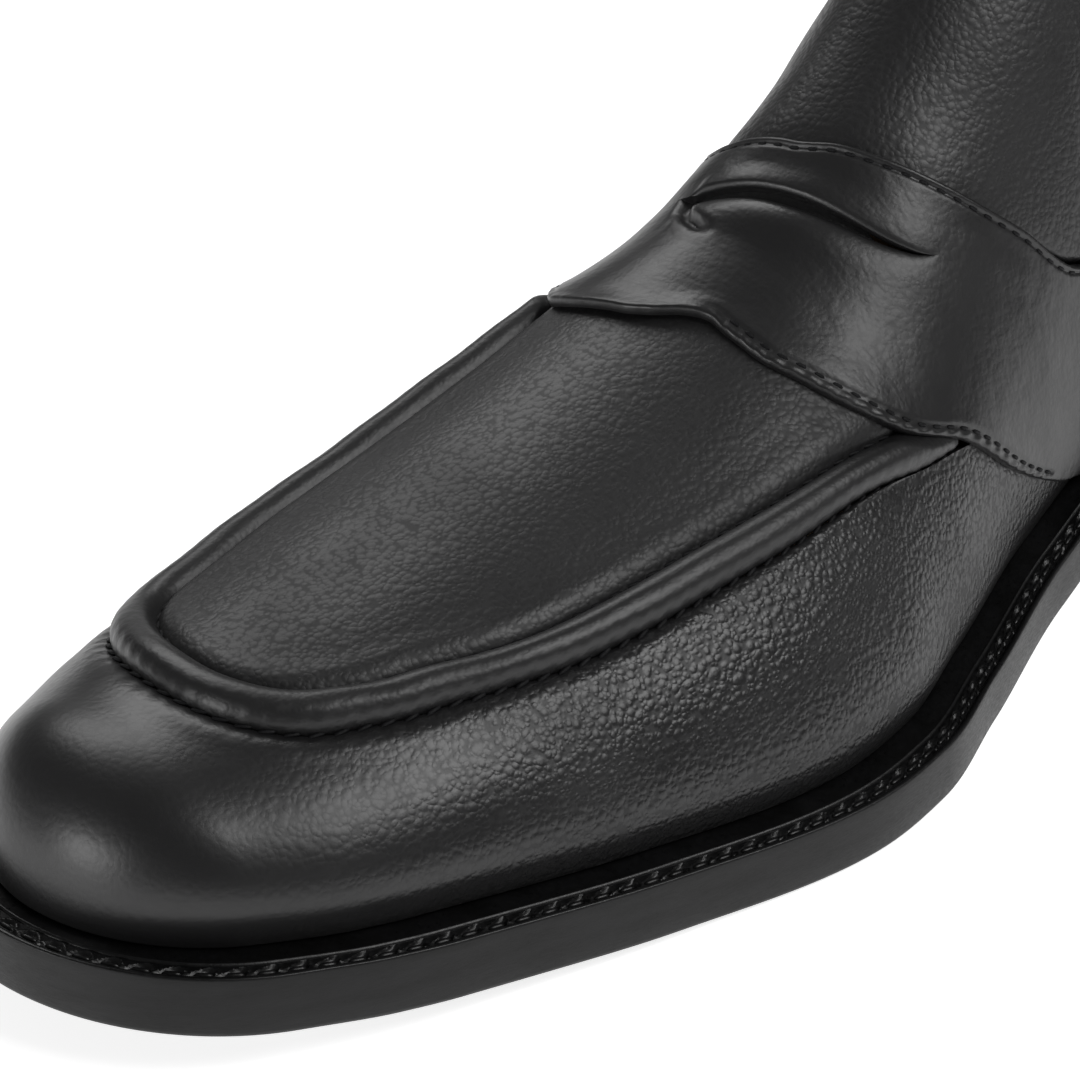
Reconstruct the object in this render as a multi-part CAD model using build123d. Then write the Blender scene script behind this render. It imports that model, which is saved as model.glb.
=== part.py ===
"""Penny loafer for the left foot, Goodyear welted, black pebble-grain leather.

Frame: millimetres, +Z up, toe towards -Y, heel towards +Y, outer side of the foot towards +X.
The origin is on the floor under the middle of the shoe's outline.
Stations along the shoe are distances back from the toe tip of the upper.
"""
from build123d import *
from functools import cache
import math
import os

# ---- driving dimensions ----
SOLE_LENGTH = 300.0
WELT_MARGIN = 6.0            # the welt stands this far out of the upper
OUTSOLE = 5.0                # outsole thickness
WELT = 3.6                   # welt thickness
GAP = 0.1                    # glue line between neighbouring flat pieces
AXIS_X = -2.1                # the toe's middle line, seen from the middle of the widest part
UPPER_LENGTH = SOLE_LENGTH - 2 * WELT_MARGIN

LEATHER = (0.0, 1.5)         # depth of each layer below the upper's outer face
STIFFENER = (1.7, 2.5)
LINING = (2.7, 3.5)
OVERLAY = (-1.4, -0.1)       # strap and backstay lie on the outer face
TONGUE = (2.0, 3.6)
TONGUE_LINING = (3.8, 4.8)
BINDING = (-0.7, 4.2)

# ---- the last: half widths either side of its middle line, and its ridge above the welt ----
WIDTH_AT = [0, 15, 35, 65, 100, 112, 130, 155, 180, 215, 250, 288]
OUTER_WIDTH = [28.5, 28.5, 33.5, 41.5, 47.5, 46.5, 41, 33.5, 30, 31, 33, 33]
INNER_WIDTH = [27, 26.5, 32, 39.5, 43.5, 42.5, 34, 28, 27.5, 29.5, 31.5, 31.5]
RIDGE_AT = [0, 15, 30, 50, 75, 100, 125, 150, 175, 200, 230, 288]
RIDGE = [19, 20, 23, 28, 35, 42.5, 50.5, 68, 85, 94, 98, 98]
POWER_AT = [0, 40, 100, 160, 230]
SIDE_POWER = [2.3, 2.2, 2.0, 2.0, 2.2]
TOP_POWER = [1.8, 1.7, 1.6, 1.5, 1.6]
RIDGE_SHIFT = -1.4           # the ridge leans to the inner side
TOE_ROUND = (27.0, 1.95)     # length and power of the toe's rounding in plan
TOE_CAP = (16.0, 2.2)        # the same for the toe's rounding in height
HEEL_ROUND = (34.0, 2.1)
WALL_FOOT = 5.0              # the wall is upright over this height
WALL_TUCK = 1.5              # and draws in this much where it meets the welt

# ---- underside of the outsole above the floor ----
BOTTOM_AT = [-6, 45, 95, 130, 215, 294]
BOTTOM = [7.5, 2.5, 0, 2, 18.5, 22]

# ---- edges seen from the side: (station, height) ----
TOPLINE_AT = [141, 147, 153, 159, 168, 190, 215, 245, 270, 295]
TOPLINE = [73.5, 69, 64.3, 59.9, 53.2, 50, 51, 56, 62, 67]
STRAP_FRONT = [
    (113.8, 75), (113.8, 62), (114.2, 54), (116.8, 50.5), (120.5, 47),
    (126.5, 42.8), (135.5, 38), (150, 28.5), (167, 15), (174, 4),
]
STRAP_REAR = [(187, 70), (188, 50), (196, 38), (211, 10)]
QUARTER_SEAM = [(162, 80), (163, 60), (172, 40), (190, 5)]
TAB_ENDS = (-24.0, 4.0)      # loose middle of the strap's front edge, across the shoe
TAB_FRONT = 109.0
SLOT_ENDS = ((-13.0, 131.5), (25.0, 142.5))   # (across, station) of the slot in the strap
SLOT_REAR = (6.0, 135.6)
SLOT_FRONT = (6.8, 132.6)
LINING_SEAM = [(170, 80), (172, 50), (182, 30), (196, 5)]
GRIP_FRONT = 262.0           # the heel grip lines the upper behind this station

# ---- apron seen from above ----
APRON_AT = [24, 45, 65, 84, 105, 122, 142]
APRON_OUTER = [21.5, 24, 29, 32.5, 35, 34.5, 33]
APRON_INNER = [26, 26.5, 27.5, 27, 25.5, 25, 24.5]
APRON_FRONT = 24.0
APRON_ROUND = (20.0, 2.1)
APRON_REAR = 138.0
ROLL_AT = [24, 60, 95, 110, 125, 142]
ROLL_WIDTH = [5.5, 5.3, 4.9, 4.2, 3.6, 3.4]
ROLL_HEIGHT = 1.8

# ---- heel ----
HEEL_BREAST = 214.0
TOP_PIECE = 5.5
LIFT = 4.0
NAIL_RADIUS = 0.9
NAIL_COUNT = 9

HIGH = 140.0
WIDE = 160.0


def table(stations, values):
    """Smooth curve through the given values that never overshoots them."""
    steps = [b - a for a, b in zip(stations, stations[1:])]
    slopes = [(b - a) / h for a, b, h in zip(values, values[1:], steps)]
    tangents = [slopes[0]]
    for i in range(1, len(slopes)):
        before, after = slopes[i - 1], slopes[i]
        if before * after <= 0:
            tangents.append(0.0)
            continue
        weight_a = 2 * steps[i] + steps[i - 1]
        weight_b = steps[i] + 2 * steps[i - 1]
        tangents.append((weight_a + weight_b) / (weight_a / before + weight_b / after))
    tangents.append(slopes[-1])

    def value(at):
        if at <= stations[0]:
            return values[0] + tangents[0] * (at - stations[0])
        if at >= stations[-1]:
            return values[-1] + tangents[-1] * (at - stations[-1])
        i = max(j for j in range(len(steps)) if stations[j] <= at)
        t = (at - stations[i]) / steps[i]
        return (
            (1 + 2 * t) * (1 - t) ** 2 * values[i]
            + t * (1 - t) ** 2 * steps[i] * tangents[i]
            + t * t * (3 - 2 * t) * values[i + 1]
            - t * t * (1 - t) * steps[i] * tangents[i + 1]
        )

    return value


outer_width = table(WIDTH_AT, OUTER_WIDTH)
inner_width = table(WIDTH_AT, INNER_WIDTH)
ridge = table(RIDGE_AT, RIDGE)
side_power = table(POWER_AT, SIDE_POWER)
top_power = table(POWER_AT, TOP_POWER)
bottom = table(BOTTOM_AT, BOTTOM)
topline = table(TOPLINE_AT, TOPLINE)
apron_outer = table(APRON_AT, APRON_OUTER)
apron_inner = table(APRON_AT, APRON_INNER)
roll_width = table(ROLL_AT, ROLL_WIDTH)


def y_at(station):
    """Y of a station."""
    return station - SOLE_LENGTH / 2 + WELT_MARGIN


def feather(station):
    """Height of the welt's top, where the upper meets it."""
    return bottom(station) + OUTSOLE + WELT + GAP


def rounding(distance, length, power):
    """Share of full width at a distance in from a rounded end."""
    t = min(1.0, max(0.0, distance / length))
    return (1 - (1 - t) ** power) ** (1 / power)


def upper_point(station, angle, inset):
    """Point of the upper drawn in by inset; angle 0 is the outer side, 90 the ridge, 180 the inner side."""
    toe = station - inset
    heel = UPPER_LENGTH - inset - station
    width_share = rounding(toe, *TOE_ROUND) * rounding(heel, *HEEL_ROUND)
    cap_share = rounding(toe, *TOE_CAP)
    foot = WALL_FOOT * cap_share
    cosine = math.cos(math.radians(angle))
    sine = math.sin(math.radians(angle))
    half = (outer_width(station) if cosine >= 0 else inner_width(station)) - inset
    reach = math.copysign(abs(cosine) ** (2 / side_power(station)), cosine)
    shift = RIDGE_SHIFT * min(1.0, station / 100) * width_share * sine ** 2
    rise = ((ridge(station) - inset) * cap_share - foot) * abs(sine) ** (2 / top_power(station))
    return Vector(AXIS_X + reach * half * width_share + shift, y_at(station), feather(station) + foot + rise)


def end_stations(length, power, count):
    """Distances in from a rounded end that follow its curve evenly."""
    angles = [90 * (i + 0.5) / count for i in range(count)]
    return [length * (1 - math.cos(math.radians(a)) ** (2 / power)) for a in angles]


@cache
def last(inset):
    """Solid of the upper drawn in by inset; it reaches a little below the welt's top."""
    toe = [inset + d for d in end_stations(*TOE_ROUND, 9)]
    heel = [UPPER_LENGTH - inset - d for d in end_stations(*HEEL_ROUND, 9)]
    middle = [45, 62, 80, 98, 114, 130, 146, 162, 180, 200, 225]
    sections = []
    for station in toe + middle + heel[::-1]:
        arch = [upper_point(station, angle, inset) for angle in range(0, 181, 10)]
        share = rounding(station - inset, *TOE_ROUND) * rounding(UPPER_LENGTH - inset - station, *HEEL_ROUND)
        tuck = Vector(WALL_TUCK * share, 0, 0)
        start = Vector(arch[0].X, arch[0].Y, feather(station) - WALL_FOOT) - tuck
        end = Vector(arch[-1].X, arch[-1].Y, feather(station) - WALL_FOOT) + tuck
        marks = [i / (len(arch) + 1) for i in range(len(arch) + 2)]
        sections.append(Wire([Edge.make_spline([start, *arch, end], parameters=marks), Line(end, start)]))
    return Solid.make_loft(sections)


def layer(depths, region):
    """Layer of the upper between two depths, within a region."""
    return (last(depths[0]) & region) - last(depths[1])


def outline(margin, front_round=TOE_ROUND, rear_round=HEEL_ROUND):
    """Plan of the shoe, standing out of the upper by margin."""
    front = -margin
    rear = UPPER_LENGTH + margin
    front_length = front_round[0] + margin
    rear_length = rear_round[0] + margin
    fore = [front + d for d in end_stations(front_length, front_round[1], 8)]
    aft = [rear - d for d in end_stations(rear_length, rear_round[1], 8)]
    stations = fore + [48, 66, 84, 100, 112, 124, 140, 160, 180, 205, 230] + aft[::-1]

    def share(station):
        fore_share = rounding(station - front, front_length, front_round[1])
        return fore_share * rounding(rear - station, rear_length, rear_round[1])

    outside = [(AXIS_X + (outer_width(max(s, 0)) + margin) * share(s), y_at(s)) for s in stations]
    inside = [(AXIS_X - (inner_width(max(s, 0)) + margin) * share(s), y_at(s)) for s in stations]
    points = [(AXIS_X, y_at(front)), *outside, (AXIS_X, y_at(rear)), *inside[::-1]]
    return Face(Wire([Spline(*points, periodic=True)]))


def column(face):
    """Plan face made into a tall solid."""
    return extrude(Pos(0, 0, -20) * face, HIGH + 20, dir=(0, 0, 1))


def side_solid(*edges):
    """Closed outline of edges drawn in (y, z) made into a solid across the whole shoe."""
    return extrude(Plane.YZ * Face(Wire(edges)), WIDE / 2, both=True)


def side_points(points, shift=0.0):
    return [(y_at(s) + shift, z) for s, z in points]


def side_polygon(points):
    corners = points + points[:1]
    return side_solid(*[Line(a, b) for a, b in zip(corners, corners[1:])])


def slab(low, high):
    """Layer that follows the outsole's underside, between two heights above it."""
    stations = [-12, 10, 30, 50, 70, 95, 120, 145, 170, 195, 220, 250, 275, 300]
    under = Spline(*[(y_at(s), bottom(s) + low) for s in stations])
    over = Spline(*[(y_at(s), bottom(s) + high) for s in stations])
    return side_solid(under, Line(under @ 1, over @ 1), over, Line(over @ 0, under @ 0))


def below_topline(drop):
    """All that lies in front of and below the foot opening's edge, lowered by drop."""
    edge = Spline(*[(y_at(s), topline(s) - drop) for s in [141, 146, 152, 160, 170, 190, 215, 245, 270, 300]])
    front = y_at(-20)
    back = y_at(300)
    crown = (y_at(137), HIGH)
    return side_solid(
        edge,
        Line(edge @ 1, (back, -20)),
        Line((back, -20), (front, -20)),
        Line((front, -20), (front, HIGH)),
        Line((front, HIGH), crown),
        Line(crown, edge @ 0),
    )


def split_at(points, shift=0.0):
    """All that lies in front of an edge drawn from top to bottom in side view."""
    edge = Spline(*side_points(points, shift))
    top, low = edge @ 0, edge @ 1
    front = y_at(-30)
    return side_solid(
        edge,
        Line(low, (low.X, -30)),
        Line((low.X, -30), (front, -30)),
        Line((front, -30), (front, HIGH)),
        Line((front, HIGH), (top.X, HIGH)),
        Line((top.X, HIGH), top),
    )


def plan_box(x_low, x_high, s_low, s_high):
    """Upright block between two x values and two stations."""
    corner = Box(x_high - x_low, s_high - s_low, HIGH + 40, align=(Align.MIN, Align.MIN, Align.CENTER))
    return Pos(AXIS_X + x_low, y_at(s_low), HIGH / 2) * corner


def apron_edge(inset, across_roll=0.0):
    """Plan points of the apron's edge from the outer side round the front to the inner side.

    across_roll is 0 for the roll's outer edge and 1 for its inner edge.
    """
    front = APRON_FRONT + inset + across_roll * ROLL_WIDTH[0]
    near = [front + d for d in end_stations(*APRON_ROUND, 7)]
    stations = near + [52, 66, 84, 105, 124, 142]

    def half(side, station):
        drawn_in = inset + across_roll * roll_width(station)
        return (side(station) - drawn_in) * rounding(station - front, *APRON_ROUND)

    outside = [(AXIS_X + half(apron_outer, s), y_at(s)) for s in stations]
    inside = [(AXIS_X - half(apron_inner, s), y_at(s)) for s in stations]
    return outside[::-1] + [(AXIS_X, y_at(front))] + inside


def apron_column(inset, across_roll=0.0):
    """Upright solid inside the apron's edge."""
    edge = Spline(*apron_edge(inset, across_roll))
    return column(Face(Wire([edge, Line(edge @ 1, edge @ 0)])))


def level(low, high):
    """Flat layer between two heights."""
    return Pos(0, 0, (low + high) / 2) * Box(WIDE, 2 * SOLE_LENGTH, high - low)


# ---- rows of stitches ----
STITCH = (2.0, 0.8, 0.6)
WELT_STITCH = (2.6, 1.0, 0.7)
STITCH_LIFT = 0.35           # stitches clear the leather, which is curved, by this much
APRON_PITCH = 3.0
EDGE_PITCH = 2.7
WELT_PITCH = 3.8


def on_upper_plan(x, y, inset):
    """Point of the upper above a plan position."""
    station = y - y_at(0)
    low, high = 0.5, 179.5
    for _ in range(30):
        middle = (low + high) / 2
        if upper_point(station, middle, inset).X > x:
            low = middle
        else:
            high = middle
    return station, low


def on_upper_side(y, z, side, inset):
    """Point of the upper's side at a height; side is +1 for the outer side."""
    station = y - y_at(0)
    low, high = 0.5, 89.5
    for _ in range(30):
        middle = (low + high) / 2
        if upper_point(station, middle, inset).Z < z:
            low = middle
        else:
            high = middle
    return (station, low) if side > 0 else (station, 180 - low)


def stitches(places, inset, pitch, size):
    """Stitches along a row of (station, angle) places on the upper."""
    spots = [upper_point(s, a, inset) for s, a in places]
    solids = []
    travelled = 0.0
    due = pitch / 2
    for i in range(1, len(spots)):
        step = spots[i] - spots[i - 1]
        while due <= travelled + step.length:
            share = (due - travelled) / step.length
            s0, a0 = places[i - 1]
            s1, a1 = places[i]
            station = s0 + (s1 - s0) * share
            angle = a0 + (a1 - a0) * share
            across = upper_point(station, angle + 1, inset) - upper_point(station, angle - 1, inset)
            along = upper_point(station + 0.5, angle, inset) - upper_point(station - 0.5, angle, inset)
            normal = along.cross(across).normalized()
            if normal.dot(Vector(math.cos(math.radians(angle)), 0, 1)) < 0:
                normal = -normal
            centre = spots[i - 1] + step * share + normal * (size[2] / 2 + STITCH_LIFT)
            solids.append(Plane(centre, x_dir=step, z_dir=normal) * Box(*size))
            due += pitch
        travelled += step.length
    return Compound(solids)


def dense(curve, count):
    """Evenly spaced plan or side points along a curve."""
    return [curve @ (i / count) for i in range(count + 1)]


# ---- sub-parts of the upper ----
parts = {}
above_welt = slab(OUTSOLE + GAP + WELT + 0.05, HIGH)
apron_panel = apron_column(0.0, 1.0)
fore_of_apron_end = plan_box(-60, 60, -10, APRON_REAR)
under_edge = below_topline(0.3) & above_welt
under_binding = below_topline(2.7) & above_welt
under_lining_edge = below_topline(3.6) & above_welt


def fore_of_strap(clear):
    """All in front of the strap and its tab, by a clearance."""
    tab_room = plan_box(-60, TAB_ENDS[1] + clear, TAB_FRONT - clear, TAB_FRONT + 22)
    return split_at(STRAP_FRONT, -clear) - tab_room



parts["apron_plug"] = layer(LEATHER, apron_panel & fore_of_apron_end & above_welt)

roll_ring = (apron_column(0.0) - apron_panel) & fore_of_strap(0.6) & above_welt
parts["apron_roll"] = layer((-ROLL_HEIGHT, LEATHER[1]), roll_ring)

vamp_region = under_edge & split_at(QUARTER_SEAM)
vamp_region -= apron_column(-0.1, 1.0) & plan_box(-60, 60, -10, APRON_REAR + 0.1)
vamp_region -= apron_column(-0.1) & fore_of_strap(0.5)
parts["vamp"] = layer(LEATHER, vamp_region)

in_front_of_strap_rear = split_at(STRAP_REAR)
quarter_region = (under_edge & in_front_of_strap_rear) + under_binding
quarter_region -= split_at(QUARTER_SEAM, 0.2)
outer_half = plan_box(0.1, 70, 140, 300)
inner_half = plan_box(-70, -0.1, 140, 300)
parts["outer_quarter"] = layer(LEATHER, quarter_region & outer_half)
parts["inner_quarter"] = layer(LEATHER, quarter_region & inner_half)

behind_strap_front = plan_box(-70, 70, 100, 240) - split_at(STRAP_FRONT)
tab = plan_box(*TAB_ENDS, TAB_FRONT, TAB_FRONT + 20)
slot_left, slot_right, slot_back, slot_fore = [
    (AXIS_X + across, y_at(station)) for across, station in (*SLOT_ENDS, SLOT_REAR, SLOT_FRONT)
]
slot_arcs = [ThreePointArc(slot_left, slot_back, slot_right), ThreePointArc(slot_right, slot_fore, slot_left)]
slot = column(Face(Wire(slot_arcs)))
strap_region = (behind_strap_front + tab) & in_front_of_strap_rear & below_topline(0.0) & above_welt
parts["saddle_strap"] = layer(OVERLAY, strap_region - slot)

stay_region = plan_box(-70, 70, 100, APRON_REAR) - split_at(STRAP_FRONT, 4.0)
parts["strap_stay"] = layer(STIFFENER, stay_region & below_topline(6.0) & above_welt)
parts["backstay"] = layer(OVERLAY, plan_box(-11, 11, 255, 300) & under_binding)
parts["toe_puff"] = layer(STIFFENER, plan_box(-60, 60, -10, 46) & above_welt)
parts["heel_counter"] = layer(STIFFENER, plan_box(-60, 60, 222, 300) & below_topline(12.0) & above_welt)

vamp_lining_region = under_lining_edge & split_at(LINING_SEAM) & (fore_of_apron_end + below_topline(8.0))
parts["vamp_lining"] = layer(LINING, vamp_lining_region)
rear_lining = under_lining_edge - split_at(LINING_SEAM, 0.2)
parts["outer_quarter_lining"] = layer(LINING, rear_lining & plan_box(0.1, 70, 140, GRIP_FRONT - GAP))
parts["inner_quarter_lining"] = layer(LINING, rear_lining & plan_box(-70, -0.1, 140, GRIP_FRONT - GAP))
parts["heel_grip"] = layer(LINING, rear_lining & plan_box(-60, 60, GRIP_FRONT + GAP, 300))

edge_band = below_topline(0.0) - below_topline(2.6)
parts["topline_binding"] = layer(BINDING, edge_band & plan_box(-60, 60, 193, 300))

tongue_plan = Pos(AXIS_X + 1, y_at(157)) * RectangleRounded(54, 38, 12)
tongue_foot = Pos(AXIS_X + 1, y_at(150)) * Rectangle(64, 22)
above_topline = plan_box(-60, 60, 100, 200) - below_topline(-0.8)
tongue_region = column(tongue_plan + tongue_foot) & above_topline
parts["tongue"] = layer(TONGUE, tongue_region)
parts["tongue_lining"] = layer(TONGUE_LINING, tongue_region)

# ---- bottom ----
welt_plan = outline(WELT_MARGIN)
parts["outsole"] = column(welt_plan) & slab(0, OUTSOLE)
welt_low = OUTSOLE + GAP
welt_high = OUTSOLE + GAP + WELT
parts["welt"] = (column(welt_plan) - column(outline(-6.0))) & slab(welt_low, welt_high)
parts["insole_rib"] = (column(outline(-6.2)) - column(outline(-8.4))) & slab(welt_low, welt_high)
cork = column(outline(-8.6)) & slab(welt_low, welt_high)
shank_plan = Pos(AXIS_X + 1, y_at(184)) * SlotOverall(104, 13, rotation=90)
shank_bed_plan = Pos(AXIS_X + 1, y_at(184)) * SlotOverall(104.4, 13.4, rotation=90)
parts["shank"] = column(shank_plan) & slab(welt_low + 1.2, welt_low + 2.4)
parts["cork_filler"] = cork - (column(shank_bed_plan) & slab(welt_low + 1.1, welt_low + 2.5))

insole_low = welt_high + 0.1
insole_high = insole_low + 3.0
pad_plan = outline(-12.0) & Pos(AXIS_X, y_at(260)) * Rectangle(90, 76)
pad_bed_plan = outline(-11.8) & Pos(AXIS_X, y_at(260)) * Rectangle(90, 76.4)
pad_bed = column(pad_bed_plan) & slab(insole_high - 1.6, insole_high + 1)
parts["insole"] = (column(outline(-5.6)) & slab(insole_low, insole_high)) - pad_bed
parts["heel_pad"] = column(pad_plan) & slab(insole_high - 1.5, insole_high)
parts["sock_liner"] = column(outline(-5.4)) & slab(insole_high + GAP, insole_high + GAP + 1.2)

# ---- heel ----
heel_plan = outline(WELT_MARGIN - 0.4)
breast = Pos(AXIS_X, y_at(HEEL_BREAST - 86)) * Circle(90)
heel_block = column(heel_plan) & plan_box(-70, 70, HEEL_BREAST - 4, 300)
heel_block -= column(breast)
nail_ring = outline(-6.0)
nail_path = [p for p in dense(nail_ring.outer_wire(), 90) if p.Y > y_at(HEEL_BREAST + 14)]
nail_step = (len(nail_path) - 1) / (NAIL_COUNT - 1)
nail_spots = [nail_path[round(i * nail_step)] for i in range(NAIL_COUNT)]
nails = [Pos(p.X, p.Y, 0.6) * Cylinder(NAIL_RADIUS, 15.0, align=(Align.CENTER, Align.CENTER, Align.MIN))
         for p in nail_spots]
bores = [Pos(p.X, p.Y, -1) * Cylinder(NAIL_RADIUS + 0.05, 16.8, align=(Align.CENTER, Align.CENTER, Align.MIN))
         for p in nail_spots]
heel_block -= bores

parts["top_piece"] = heel_block & level(0, TOP_PIECE)
lift_low = TOP_PIECE + GAP
parts["lower_heel_lift"] = heel_block & level(lift_low, lift_low + LIFT)
lift_low += LIFT + GAP
parts["middle_heel_lift"] = heel_block & level(lift_low, lift_low + LIFT)
lift_low += LIFT + GAP
parts["upper_heel_lift"] = heel_block & level(lift_low, HIGH) & slab(-30, -GAP)
parts["heel_nails"] = Compound(nails)

# ---- stitching ----
for name, margin, across_roll in [("apron_outer_stitches", -1.6, 0.0), ("apron_inner_stitches", 1.3, 1.0)]:
    row = dense(Spline(*apron_edge(margin, across_roll)), 160)
    places = [on_upper_plan(p.X, p.Y, 0.0) for p in row if p.Y < y_at(108)]
    parts[name] = stitches(places, 0.0, APRON_PITCH, STITCH)

strap_face = OVERLAY[0]
front_row = dense(Spline(*side_points(STRAP_FRONT, 2.0)), 120)
front_stitches = []
rear_stitches = []
topline_stitches = []
for side in (1, -1):
    places = [on_upper_side(p.X, p.Y, side, strap_face) for p in front_row
              if 54 > p.Y > feather(p.X - y_at(0)) + 3]
    front_stitches += stitches(places, strap_face, EDGE_PITCH, STITCH).solids()
    places = [on_upper_side(y_at(s), topline(s) - 2.0, side, strap_face) for s in range(143, 187)]
    rear_stitches += stitches(places, strap_face, EDGE_PITCH, STITCH).solids()
    places = [on_upper_side(y_at(s), topline(s) - 4.6, side, 0.0) for s in range(194, 276)]
    topline_stitches += stitches(places, 0.0, EDGE_PITCH, STITCH).solids()
parts["strap_front_stitches"] = Compound(front_stitches)
parts["strap_rear_stitches"] = Compound(rear_stitches)
parts["topline_stitches"] = Compound(topline_stitches)

welt_row = outline(WELT_MARGIN - 2.6).outer_wire()
welt_count = round(welt_row.length / WELT_PITCH)
welt_stitches = []
for i in range(welt_count):
    spot = welt_row @ (i / welt_count)
    ahead = welt_row @ ((i + 0.4) / welt_count)
    station = spot.Y - y_at(0)
    rise = bottom(ahead.Y - y_at(0)) - bottom(station)
    top = bottom(station) + welt_high + WELT_STITCH[2] / 2 + STITCH_LIFT
    along = Vector(ahead.X - spot.X, ahead.Y - spot.Y, rise)
    sideways = Vector(-along.Y, along.X, 0)
    place = Plane((spot.X, spot.Y, top), x_dir=along, z_dir=along.cross(sideways))
    welt_stitches.append(place * Box(*WELT_STITCH))
parts["welt_stitches"] = Compound(welt_stitches)

# ---- files ----
os.makedirs("parts", exist_ok=True)
for name, part in parts.items():
    export_step(part, f"parts/{name}.step")
    box = part.bounding_box()
    print(f"{name:24s} {len(part.solids()):4d} solids  {part.volume:10.1f} mm3  "
          f"z {box.min.Z:6.1f} {box.max.Z:6.1f}")
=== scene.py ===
import math
import bpy
import numpy as np
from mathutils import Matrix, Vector


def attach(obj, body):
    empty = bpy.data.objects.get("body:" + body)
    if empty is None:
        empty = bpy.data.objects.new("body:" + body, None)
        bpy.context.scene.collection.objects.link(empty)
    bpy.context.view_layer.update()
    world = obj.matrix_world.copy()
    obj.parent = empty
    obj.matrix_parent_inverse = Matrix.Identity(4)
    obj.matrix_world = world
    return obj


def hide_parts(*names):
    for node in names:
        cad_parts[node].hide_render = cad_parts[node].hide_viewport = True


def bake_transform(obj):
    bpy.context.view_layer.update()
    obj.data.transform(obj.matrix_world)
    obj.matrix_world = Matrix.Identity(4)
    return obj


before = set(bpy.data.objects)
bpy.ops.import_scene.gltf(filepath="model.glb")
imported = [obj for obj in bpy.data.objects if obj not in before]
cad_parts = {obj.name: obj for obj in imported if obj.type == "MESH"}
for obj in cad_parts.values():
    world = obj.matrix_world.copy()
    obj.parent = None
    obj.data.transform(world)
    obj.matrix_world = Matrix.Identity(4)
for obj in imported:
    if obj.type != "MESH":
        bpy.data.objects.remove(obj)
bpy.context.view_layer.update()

# Shape is worked out in millimetres, in the frame's axes: toe -Y, heel +Y, outer side +X, floor at Z 0.
# A station is a distance back from the toe tip of the upper.
MM = 0.001
SOLE_LENGTH = 300.0
WELT_MARGIN = 6.0
OUTSOLE = 5.0
WELT = 3.6
GAP = 0.1
AXIS_X = -2.1
UPPER_LENGTH = SOLE_LENGTH - 2 * WELT_MARGIN

# The last: half widths each side of AXIS_X, the ridge's height above the welt and the powers of the
# cross-section, by station. As far back as station 180 these, TOE_ROUND, TOE_CAP, RIDGE_SHIFT, the toe spring
# and the camera are the rounded result of a least-squares fit, by a scratch program, to points of the
# photograph. Behind it they are chosen. So is the topline behind station 168; its front is placed in the same
# way as the strap below.
WIDTH_AT = [0, 15, 35, 65, 100, 112, 130, 155, 180, 215, 250, 288]
OUTER_WIDTH = [28.5, 28.5, 33.5, 41.5, 47.5, 46.5, 41, 33.5, 30, 31, 33, 33]
INNER_WIDTH = [27, 26.5, 32, 39.5, 43.5, 42.5, 34, 28, 27.5, 29.5, 31.5, 31.5]
RIDGE_AT = [0, 15, 30, 50, 75, 100, 125, 150, 175, 200, 230, 288]
RIDGE = [19, 20, 23, 28, 35, 42.5, 50.5, 68, 85, 94, 98, 98]
POWER_AT = [0, 40, 100, 160, 230]
SIDE_POWER = [2.3, 2.2, 2.0, 2.0, 2.2]
TOP_POWER = [1.8, 1.7, 1.6, 1.5, 1.6]
RIDGE_SHIFT = -1.4
TOE_ROUND = (27.0, 1.95)
TOE_CAP = (16.0, 2.2)
HEEL_ROUND = (34.0, 2.1)
WALL_FOOT = 5.0
WALL_TUCK = 1.5
BOTTOM_AT = [-6, 45, 95, 130, 215, 294]
BOTTOM = [7.5, 2.5, 0, 2, 18.5, 22]
TOPLINE_AT = [141, 147, 153, 159, 168, 190, 215, 245, 270, 295]
TOPLINE = [73.5, 69, 64.3, 59.9, 53.2, 50, 51, 56, 62, 67]

# The tables of the strap, slot, roll and apron come from points of the photograph, placed on the upper by
# scratch programs with the solved camera, then mirrored, extended and adjusted by hand.
# Strap and slot: stations by angle round the upper, from the outer side over the ridge to the inner side.
STRAP_FRONT_AT = [-10, 5, 17, 32, 41.5, 51.4, 61, 70, 76, 79.5, 84, 89, 94, 104, 112, 119, 129, 138.5,
                  148, 163, 175, 190]
STRAP_FRONT = [174, 159, 147.4, 135.7, 126.5, 120.4, 116.4, 113.9, 113.7, 113.9, 112.6, 110.2, 108.9, 108.5,
               109.2, 113, 120.4, 126.5, 135.7, 147.4, 159, 174]
STRAP_REAR_AT = [-10, 0, 10, 18, 21, 24, 27, 30, 40.5, 50, 60.4, 71.2, 78.6, 88.4, 104.4, 111, 114, 120,
                 126, 130, 139.5, 150, 153, 156, 159, 162, 170, 180, 190]
STRAP_REAR = [212, 204, 196, 190.5, 185, 177.6, 171.6, 167, 158.8, 152.5, 147.2, 143.3, 141.4, 139.2, 138.6,
              139, 139.4, 141.2, 144.6, 147.8, 156.5, 167, 171.6, 177.6, 185, 190.5, 196, 204, 212]
TAB_PROUD_AT = [60, 76, 84, 96, 112, 119, 124]
TAB_PROUD = [0, 0.1, 0.85, 1, 0.8, 0.3, 0]
SLOT_AT = [30, 50, 53.2, 57.2, 64.2, 74.9, 86.4, 98.1, 106.3, 109, 130]
SLOT = [160, 145.5, 142.5, 140, 137.2, 134.7, 132.9, 131.4, 130.8, 130.9, 136]
SLOT_ENDS = (53.0, 107.0)
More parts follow.
